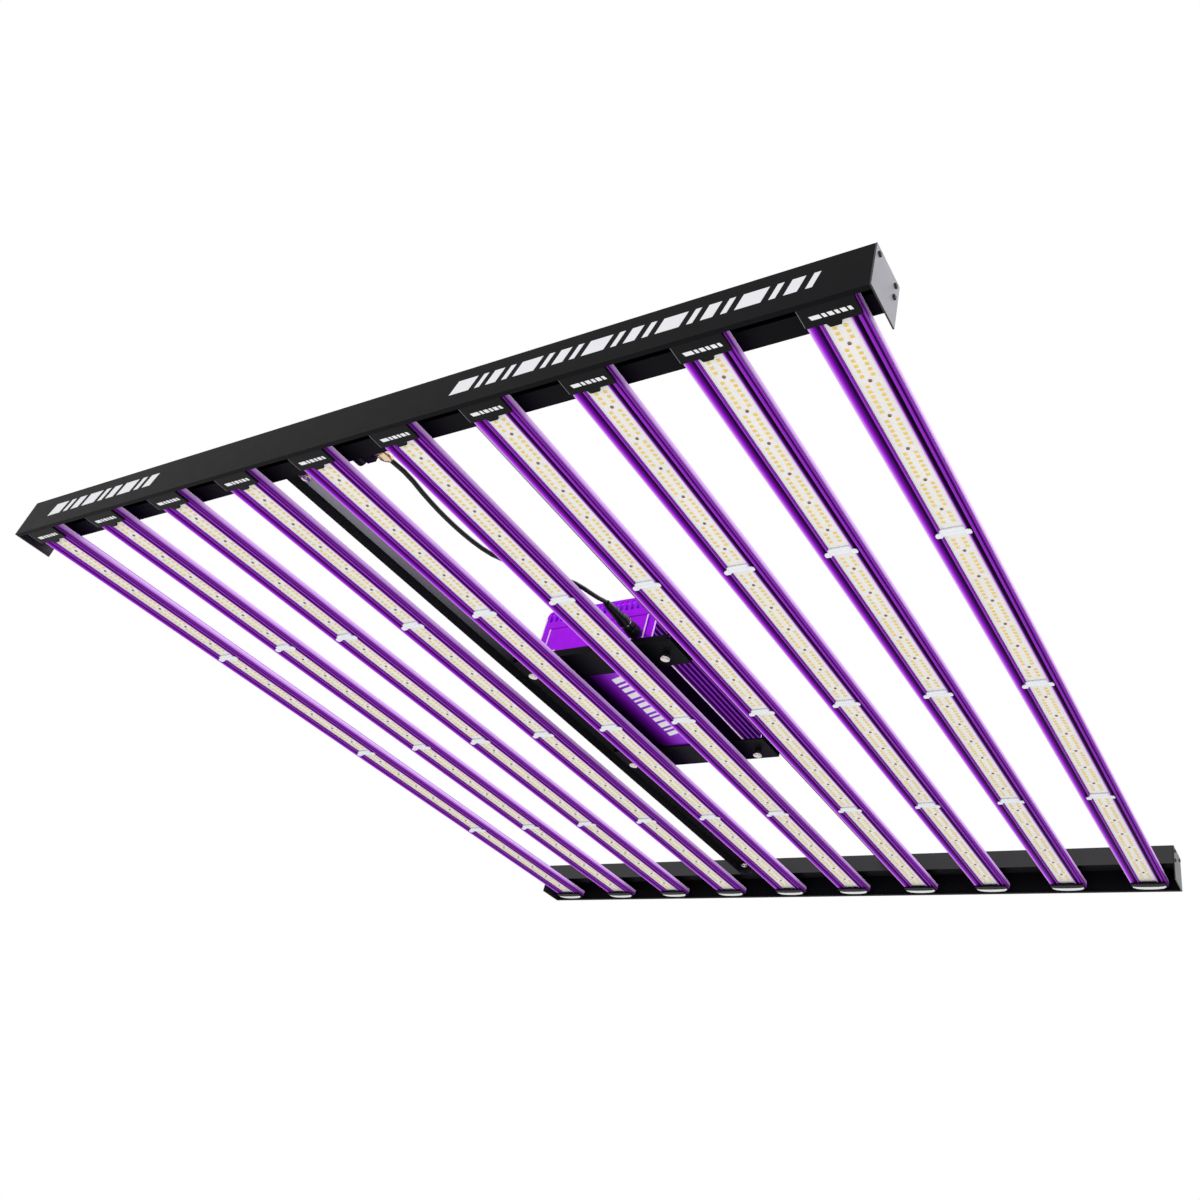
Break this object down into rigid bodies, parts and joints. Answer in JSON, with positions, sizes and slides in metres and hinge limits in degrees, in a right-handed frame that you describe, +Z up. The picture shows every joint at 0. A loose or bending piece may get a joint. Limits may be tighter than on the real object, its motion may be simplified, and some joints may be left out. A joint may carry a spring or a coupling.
{
  "type": "led grow light",
  "caption": "Flat frame of slim LED bars between two end channels, with a finned driver hung from cross beams in the middle and a dimmer knob on one channel.",
  "frame": {"origin": "middle of the footprint, level with the lower edges of the two end channels", "axes": "+X across the bars, +Y along the bars from the channel with the dimmer to the other one, +Z up, away from the plants (the LEDs face -Z)"},
  "size_m": [1.1286, 1.164, 0.1024],
  "materials": {
    "powder_coat": "satin black powder coat",
    "anodised": "purple anodised",
    "board": "white solder mask over aluminium",
    "plastic": "satin black",
    "plated_steel": "nickel plated",
    "brass": "nickel plated",
    "rubber": "matte",
    "circuit_board": "satin"
  },
  "bodies": {
    "fixture": {"end_channel_near": "powder_coat", "end_channel_far": "powder_coat", "channel_end_plate_near_left": "powder_coat", "channel_end_plate_near_right": "powder_coat", "channel_end_plate_far_left": "powder_coat", "channel_end_plate_far_right": "powder_coat", "cross_beam_left": "powder_coat", "cross_beam_right": "powder_coat", "driver_bracket_near": "powder_coat", "driver_bracket_far": "powder_coat", "led_bar_extrusion_01": "anodised", "led_bar_extrusion_02": "anodised", "led_bar_extrusion_03": "anodised", "led_bar_extrusion_04": "anodised", "led_bar_extrusion_05": "anodised", "led_bar_extrusion_06": "anodised", "led_bar_extrusion_07": "anodised", "led_bar_extrusion_08": "anodised", "led_bar_extrusion_09": "anodised", "led_bar_extrusion_10": "anodised", "led_board_strip_01": "board", "led_board_strip_02": "board", "led_board_strip_03": "board", "led_board_strip_04": "board", "led_board_strip_05": "board", "led_board_strip_06": "board", "led_board_strip_07": "board", "led_board_strip_08": "board", "led_board_strip_09": "board", "led_board_strip_10": "board", "bar_end_cap_01": "plastic", "bar_end_cap_02": "plastic", "bar_end_cap_03": "plastic", "bar_end_cap_04": "plastic", "bar_end_cap_05": "plastic", "bar_end_cap_06": "plastic", "bar_end_cap_07": "plastic", "bar_end_cap_08": "plastic", "bar_end_cap_09": "plastic", "bar_end_cap_10": "plastic", "driver_housing": "anodised", "driver_end_plate_front": "anodised", "driver_end_plate_rear": "anodised", "driver_circuit_board": "circuit_board", "cable_gland": "brass", "control_socket": "plastic", "supply_plug": "plastic", "driver_lead": "rubber", "wiring_harness": "rubber"},
    "driver_thumbscrew_near_left": {"driver_thumbscrew_near_left": "plated_steel"},
    "driver_thumbscrew_near_right": {"driver_thumbscrew_near_right": "plated_steel"},
    "driver_thumbscrew_far_left": {"driver_thumbscrew_far_left": "plated_steel"},
    "driver_thumbscrew_far_right": {"driver_thumbscrew_far_right": "plated_steel"},
    "beam_thumbscrew_near_left": {"beam_thumbscrew_near_left": "plated_steel"},
    "beam_thumbscrew_near_right": {"beam_thumbscrew_near_right": "plated_steel"},
    "beam_thumbscrew_far_left": {"beam_thumbscrew_far_left": "plated_steel"},
    "beam_thumbscrew_far_right": {"beam_thumbscrew_far_right": "plated_steel"},
    "dimmer_knob": {"dimmer_knob": "plastic"},
    "plug_locking_ring": {"plug_locking_ring": "plastic"}
  },
  "joints": [
    {"name": "driver_thumbscrew_near_left_turn", "type": "hinge", "parent": "fixture", "child": "driver_thumbscrew_near_left", "pos_m": [-0.1024, -0.1249, 0.0244], "axis": [0, 0, -1], "continuous": true},
    {"name": "driver_thumbscrew_near_right_turn", "type": "hinge", "parent": "fixture", "child": "driver_thumbscrew_near_right", "pos_m": [0.1024, -0.1249, 0.0244], "axis": [0, 0, -1], "continuous": true},
    {"name": "driver_thumbscrew_far_left_turn", "type": "hinge", "parent": "fixture", "child": "driver_thumbscrew_far_left", "pos_m": [-0.1024, 0.1249, 0.0244], "axis": [0, 0, -1], "continuous": true},
    {"name": "driver_thumbscrew_far_right_turn", "type": "hinge", "parent": "fixture", "child": "driver_thumbscrew_far_right", "pos_m": [0.1024, 0.1249, 0.0244], "axis": [0, 0, -1], "continuous": true},
    {"name": "beam_thumbscrew_near_left_turn", "type": "hinge", "parent": "fixture", "child": "beam_thumbscrew_near_left", "pos_m": [-0.13, -0.522, 0.0414], "axis": [0, 0, -1], "continuous": true},
    {"name": "beam_thumbscrew_near_right_turn", "type": "hinge", "parent": "fixture", "child": "beam_thumbscrew_near_right", "pos_m": [0.13, -0.522, 0.0414], "axis": [0, 0, -1], "continuous": true},
    {"name": "beam_thumbscrew_far_left_turn", "type": "hinge", "parent": "fixture", "child": "beam_thumbscrew_far_left", "pos_m": [-0.13, 0.522, 0.0414], "axis": [0, 0, -1], "continuous": true},
    {"name": "beam_thumbscrew_far_right_turn", "type": "hinge", "parent": "fixture", "child": "beam_thumbscrew_far_right", "pos_m": [0.13, 0.522, 0.0414], "axis": [0, 0, -1], "continuous": true},
    {"name": "dimmer_knob_turn", "type": "hinge", "parent": "fixture", "child": "dimmer_knob", "pos_m": [-0.042, -0.535, 0.0336], "axis": [0, 1, 0], "range_deg": [0, 300]},
    {"name": "plug_locking_ring_turn", "type": "hinge", "parent": "fixture", "child": "plug_locking_ring", "pos_m": [0.066, -0.1468, 0.0434], "axis": [0, -1, 0], "range_deg": [-90, 0]}
  ]
}
